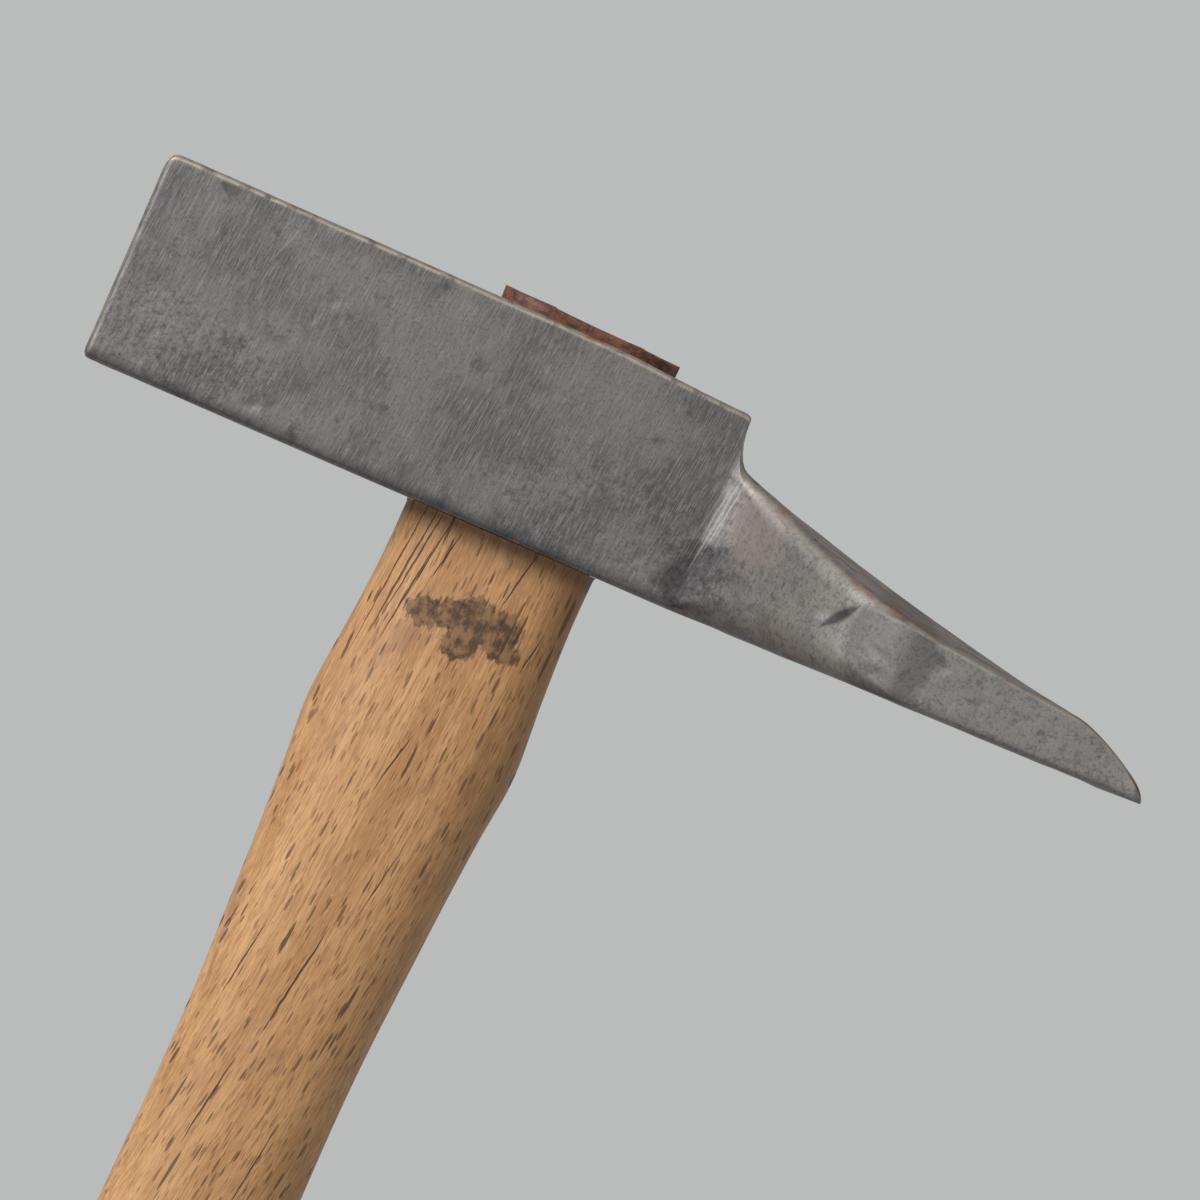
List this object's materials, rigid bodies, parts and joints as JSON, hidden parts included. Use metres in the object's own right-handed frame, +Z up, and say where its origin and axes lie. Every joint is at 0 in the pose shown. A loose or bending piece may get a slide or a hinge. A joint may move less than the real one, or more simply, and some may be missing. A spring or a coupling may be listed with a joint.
{
  "type": "veneer hammer",
  "caption": "Hand hammer with a square forged head, a stepped neck into a wide thin crosswise peen, and an oval wooden handle wedged in its eye.",
  "frame": {"origin": "centre of the flat end of the handle's butt", "axes": "+Z up the handle to the head, +X from the striking face to the peen's working edge, +Y across the head along that edge"},
  "size_m": [0.1337, 0.076, 0.2899],
  "materials": {
    "forged_steel": "old forged steel, sanded by hand, dull, with darker pits and edges",
    "beech": "worn and oiled, dark flecks, drying cracks and a stain",
    "wedge_wood": "end grain, dark with oil and rust",
    "wedge_iron": "rusted, battered flush with the wood"
  },
  "bodies": {
    "root": {"head": "forged_steel", "handle": "beech", "wooden_wedge": "wedge_wood", "iron_wedge_poll": "wedge_iron", "iron_wedge_peen": "wedge_iron"}
  },
  "joints": []
}
